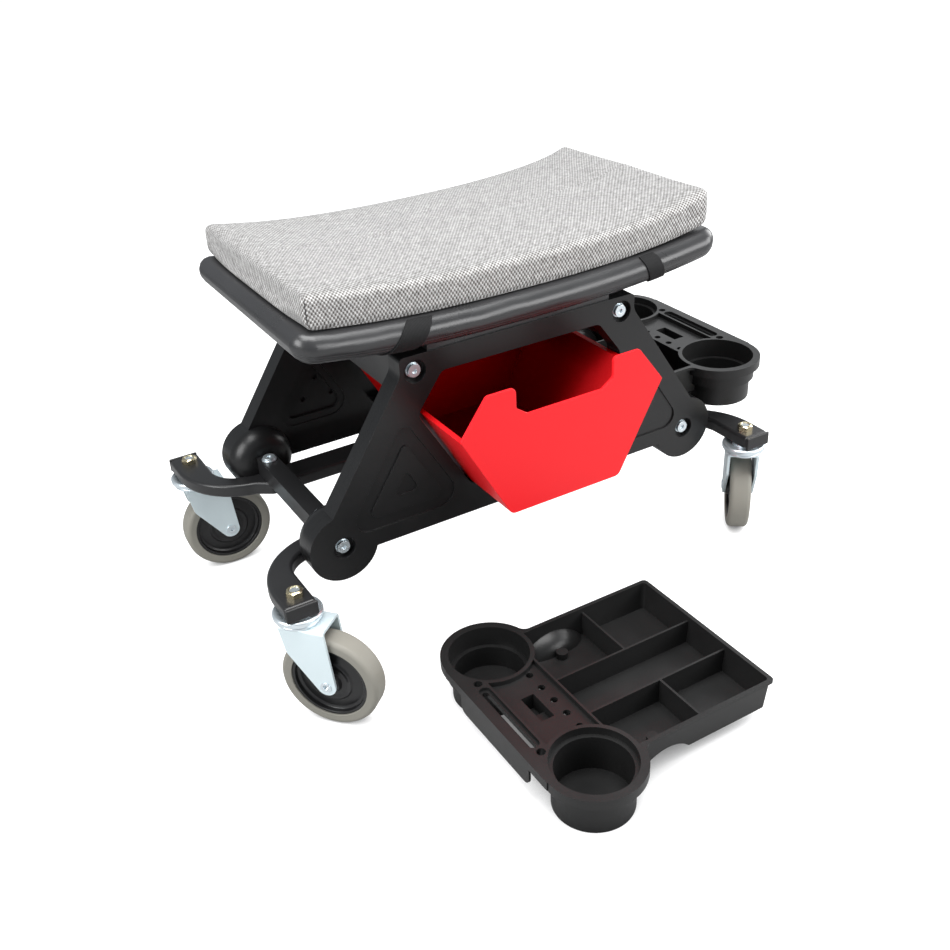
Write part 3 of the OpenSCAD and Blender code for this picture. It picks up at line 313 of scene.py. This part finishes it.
# The trays: a pair of black mouldings, satin, with thin rounded rims. One hangs at the
# seat's right-hand end, the other stands on the floor.
tray_plastic, tree, shader = material("tray_plastic", (0.0115, 0.0115, 0.0115), 0.38,
                                      specular=0.34)
surface(tree, shader, grain=700, depth=0.22, spread=0.06, tint=0.25)
for tray in ("end_tray", "spare_tray"):
    softened(tray, tray_plastic, 0.0010, segments=3)

# The seat board: a thick satin moulding with round noses, a shade greyer than the panels
# where the light falls along its nose. Two mould lines run along each nose, below its middle.
board_level, end_rise, end_x, rise_power = 0.348, 0.017, 0.235, 2.5
nose_radius, nose_y = 0.0154, 0.120
board_plastic, tree, shader = material("board_plastic", (0.024, 0.024, 0.0252), 0.31,
                                       specular=0.6)
surface(tree, shader, grain=520, depth=0.2, spread=0.06, tint=0.25)
place = chain(tree, "ShaderNodeSeparateXYZ",
              {0: chain(tree, "ShaderNodeTexCoord").outputs["Object"]})


def seat_z(x):
    # the board's middle height: level in the middle, turned up towards the ends
    return board_level + end_rise * (abs(x) / end_x) ** rise_power


def sums(kind, a, b=0.0):
    # one step of arithmetic in the nodes of the material in hand
    return chain(tree, "ShaderNodeMath", {0: a, 1: b}, operation=kind).outputs[0]


# the same height as seat_z gives, worked out by the material's nodes
outward = sums("DIVIDE", sums("ABSOLUTE", place.outputs["X"]), end_x)
rise = sums("MULTIPLY", sums("POWER", outward, rise_power), end_rise)
below = sums("SUBTRACT", sums("ADD", rise, board_level), place.outputs["Z"])
line_core, line_edge = 0.0003, 0.0009
lines = [ranged(tree, sums("ABSOLUTE", sums("SUBTRACT", below, line_depth)),
                line_core, line_edge) for line_depth in (0.0052, 0.0078)]
mould_line = chain(tree, "ShaderNodeBump", {
    "Height": sums("MINIMUM", *lines), "Strength": 0.7, "Distance": 0.0005,
    "Normal": shader.inputs["Normal"].links[0].from_socket})
tree.links.new(mould_line.outputs["Normal"], shader.inputs["Normal"])
softened("seat_board", board_plastic, 0.0006, angle=38, flat=0)

# The cushion: a foam slab in a grey basket weave, light floats over dark brown threads,
# slightly puffed between its sewn edges, with a stitched seam down each corner. Its underside
# lies on the board and hangs a little over the round noses; its right-hand end curls up.
soft, lattice = 0.0085, 0.005
slab_low, slab_high = Vector((-0.2228, -0.1283, 0)), Vector((0.2250, 0.1283, 0.0345))
slab = bmesh.new()
bmesh.ops.create_cube(slab, size=1)
bmesh.ops.scale(slab, verts=slab.verts, vec=slab_high - slab_low)
bmesh.ops.translate(slab, verts=slab.verts, vec=(slab_low + slab_high) / 2)
bmesh.ops.bevel(slab, geom=slab.edges[:], offset=soft, offset_type="OFFSET", segments=4,
                profile=0.5, affect="EDGES", material=-1, clamp_overlap=True)
for axis, across in enumerate((Vector((1, 0, 0)), Vector((0, 1, 0)), Vector((0, 0, 1)))):
    run = slab_high[axis] - slab_low[axis] - 2 * soft
    cuts = round(run / lattice)
    for k in range(1, cuts):
        bmesh.ops.bisect_plane(slab, geom=slab.verts[:] + slab.edges[:] + slab.faces[:],
                               plane_no=across,
                               plane_co=across * (slab_low[axis] + soft + run * k / cuts))

half_long, half_wide = 0.222, 0.13
right_x, back_y = 0.22, 0.12
crown_height, back_drop, drawn_in = 0.001, 0.0030, 0.014
end_curl, top_curl = 0.0035, 0.003
for vert in slab.verts:
    at = vert.co
    up = at.z / slab_high.z
    crown = crown_height * (1 - (at.x / half_long) ** 2) * (1 - (at.y / half_wide) ** 4)
    over = max(abs(at.y) - nose_y, 0)
    hang = nose_radius - (nose_radius ** 2 - over ** 2) ** 0.5
    to_right_end = max(at.x / right_x, 0)
    to_back = min(max(at.y / back_y, 0), 1)
    back_low = back_drop * up * to_back * (0.8 + 0.9 * to_right_end ** 4)
    curl = to_right_end ** 6 * (end_curl + top_curl * up) - back_low
    at.y *= 1 - drawn_in * (1 - (at.x / half_long) ** 4)
    at.z += seat_z(at.x) + nose_radius + crown * up - hang * (1 - up) + curl
cover_data = bpy.data.meshes.new("cushion_cover")
slab.to_mesh(cover_data)
slab.free()
cushion = bpy.data.objects.new("cushion_cover", cover_data)
scene.collection.objects.link(cushion)
before = [v.co.copy() for v in cushion.data.vertices]
underside = [seat_z(c.x) + nose_radius + max(c.x / right_x, 0) ** 6 * end_curl
             for c in before]
held_within = 0.001
held = cushion.vertex_groups.new(name="held")
held.add([i for i, c in enumerate(before) if c.z < underside[i] + held_within],
         1.0, "REPLACE")
cloth = cushion.modifiers.new("cloth", "CLOTH")
cloth.settings.use_pressure = True
cloth.settings.uniform_pressure_force = 4
cloth.settings.effector_weights.gravity = 0
cloth.settings.vertex_group_mass = "held"
cloth.settings.quality = 6
cloth.settings.mass = 0.3
last_step = 20
for step in range(1, last_step + 1):
    scene.frame_set(step)
puffed = cushion.evaluated_get(bpy.context.evaluated_depsgraph_get()).data
after = [v.co.copy() for v in puffed.vertices]
cushion.modifiers.clear()
scene.frame_set(1)
# the sewn edges hold the cover in, and it puffs out most between them
sewn_x, sewn_y, top_z = 0.2225, 0.1285, 0.0504
least_puff, more_puff, seam_reach = 0.0008, 0.0027, 0.030
for vert, old, new in zip(cushion.data.vertices, before, after):
    from_edges = sorted((sewn_x - abs(old.x), sewn_y - abs(old.y),
                         abs(old.z - seat_z(old.x) - top_z)))
    free = min(max(from_edges[1] / seam_reach, 0), 1) ** 0.7
    cap = least_puff + more_puff * free
    move = new - old
    vert.co = old + move * (min(move.length, cap) / max(move.length, 1e-9))
cushion.data.shade_smooth()
rounder = cushion.modifiers.new("rounder", "SUBSURF")
rounder.levels = rounder.render_levels = 1

cover_fabric, tree, shader = material("cover_fabric", (0.6, 0.6, 0.6), 0.85, specular=0.2)
shader.inputs["Sheen Weight"].default_value = 0.25
where = chain(tree, "ShaderNodeTexCoord")
spot = where.outputs["Object"]
place = chain(tree, "ShaderNodeSeparateXYZ", {0: spot})
facing = chain(tree, "ShaderNodeSeparateXYZ", {0: where.outputs["Normal"]})
facing_x, facing_y, facing_z = (sums("ABSOLUTE", facing.outputs[k]) for k in "XYZ")

# the weave: rows of floats that run on from the top down the sides
float_length, row_height, wander = 0.0037, 0.0025, 1.3
end_face = ranged(tree, sums("SUBTRACT", facing_x, sums("MAXIMUM", facing_y, facing_z)),
                  -0.02, 0.02)
round_edge = sums("SUBTRACT", place.outputs["Z"], sums("ABSOLUTE", place.outputs["Y"]))
along = chain(tree, "ShaderNodeMix", {0: end_face, 2: place.outputs["X"],
                                      3: place.outputs["Y"]}).outputs[0]
down = chain(tree, "ShaderNodeMix", {0: end_face, 2: round_edge,
                                     3: place.outputs["Z"]}).outputs[0]
bend = sums("MULTIPLY", sums("SUBTRACT", noise(tree, spot, 60, 2), 0.5), wander)
warp = sums("COSINE", sums("ADD", sums("MULTIPLY", along, 2 * math.pi / float_length), bend))
weft = sums("COSINE", sums("ADD", sums("MULTIPLY", down, math.pi / row_height), bend))
fuzz = sums("MULTIPLY", noise(tree, spot, 900, 3), 0.5)
height = sums("ADD", sums("MULTIPLY", warp, weft), fuzz)
lit = ranged(tree, height, -0.25, 0.75, interpolation_type="SMOOTHSTEP")

# its colours: pale floats over dark threads, more of the weave on faces turned to the front and
# a sleeker, duller mix on the top; a scale by facing adds painted light, lighter on the front
# and darker on the top
thread = ranged(tree, noise(tree, spot, 210, 3, 0.7), 0.3, 0.7)
pale = blend(tree, thread, (0.31, 0.305, 0.30, 1), (0.62, 0.615, 0.61, 1))
dark = blend(tree, thread, (0.05, 0.042, 0.037, 1), (0.17, 0.16, 0.15, 1))
woven = blend(tree, lit, dark, pale)
sleek = blend(tree, thread, (0.15, 0.147, 0.144, 1), (0.36, 0.356, 0.353, 1))
# painted light by facing: side weighs front faces against the top, for the mix and for a scale
# that lightens the front and darkens the top
side = ranged(tree, sums("SUBTRACT", facing_y, facing_z), -0.5, 0.2)
woven_share = sums("ADD", sums("MULTIPLY", side, 0.4), 0.6)
painted_light_by_facing = sums("ADD", sums("MULTIPLY", side, 0.27), 0.86)
cloth_colour = chain(tree, "ShaderNodeVectorMath",
                     {0: blend(tree, woven_share, sleek, woven), "Scale": painted_light_by_facing},
                     operation="SCALE").outputs[0]

# the seam: a dotted dark line where the front and an end meet
stitches_per_metre, seam_dark = 1300, (0.03, 0.03, 0.03, 1)
from_corner = sums("ABSOLUTE", sums("SUBTRACT", facing_x, facing_y))
level = sums("MULTIPLY", facing_z, 0.3)
dots = sums("SINE", sums("MULTIPLY", place.outputs["Z"], stitches_per_metre))
stitch = sums("MULTIPLY", sums("ABSOLUTE", dots), 0.10)
seam = ranged(tree, sums("ADD", sums("ADD", from_corner, level), stitch), 0.14, 0.30)
tree.links.new(blend(tree, seam, seam_dark, cloth_colour), shader.inputs["Base Color"])
relief = chain(tree, "ShaderNodeBump", {"Height": height, "Strength": 0.6, "Distance": 0.0007})
tree.links.new(relief.outputs["Normal"], shader.inputs["Normal"])
cushion.data.materials.append(cover_fabric)
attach(cushion, nodes["seat_cushion"]["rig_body"])
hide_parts("seat_cushion")

# The straps: matt black elastic, gathered where they leave the cushion's edge, wrapped round
# the board's noses and drawn flat below it. The share runs from the top of a nose, at 0, to
# its underside, at 1, which is reached one row before the middle.
strap_elastic, tree, shader = material("strap_elastic", (0.008, 0.008, 0.0085), 0.75,
                                       specular=0.25)
ribs = chain(tree, "ShaderNodeTexWave",
             {"Vector": chain(tree, "ShaderNodeTexCoord").outputs["Object"], "Scale": 230,
              "Distortion": 0.6, "Detail": 2}, bands_direction="X")
relief = chain(tree, "ShaderNodeBump", {"Height": ribs.outputs["Fac"], "Strength": 0.5,
                                        "Distance": 0.0004})
tree.links.new(relief.outputs["Normal"], shader.inputs["Normal"])
leaves_at, gathered_over = 0.13, 0.15
inner_radius, thickness, fuller = 0.0153, 0.0011, 0.00015
rows_each_side = 30
for name, top_x, low_x, wide in (("strap_left", -0.109, -0.141, 0.0280),
                                 ("strap_right", 0.141, 0.159, 0.0185)):
    band = bmesh.new()
    bmesh.ops.create_grid(band, x_segments=4, y_segments=2 * rows_each_side, size=1)
    raised = bmesh.ops.extrude_face_region(band, geom=band.faces[:])["geom"]
    bmesh.ops.translate(band, vec=(0, 0, 1),
                        verts=[v for v in raised if isinstance(v, bmesh.types.BMVert)])
    bmesh.ops.recalc_face_normals(band, faces=band.faces)
    for vert in band.verts:
        # across the band, along it from the front edge to the back, and its outer side or inner
        edge, run, outer = vert.co
        round_nose = min((1 - abs(run)) * rows_each_side / (rows_each_side - 1), 1)
        share = leaves_at + (1 - leaves_at) * round_nose
        angle = math.pi * (0.5 - share)
        half = wide / 2 * (0.9 + 0.1 * min((share - leaves_at) / gathered_over, 1) ** 0.5)
        reach = inner_radius + outer * (thickness + fuller * (1 - edge * edge))
        in_middle = abs(run) < 0.5 / rows_each_side
        end = 0 if in_middle else math.copysign(1, run)
        x = top_x + (low_x - top_x) * share - edge * half
        vert.co = (x, end * (nose_y + reach * math.cos(angle)),
                   seat_z(x) + reach * math.sin(angle))
    data = bpy.data.meshes.new(name + "_piece")
    band.to_mesh(data)
    band.free()
    data.shade_smooth()
    data.set_sharp_from_angle(angle=math.radians(50))
    data.materials.append(strap_elastic)
    strap = bpy.data.objects.new(name + "_piece", data)
    scene.collection.objects.link(strap)
    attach(strap, nodes[name]["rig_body"])
    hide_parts(name)
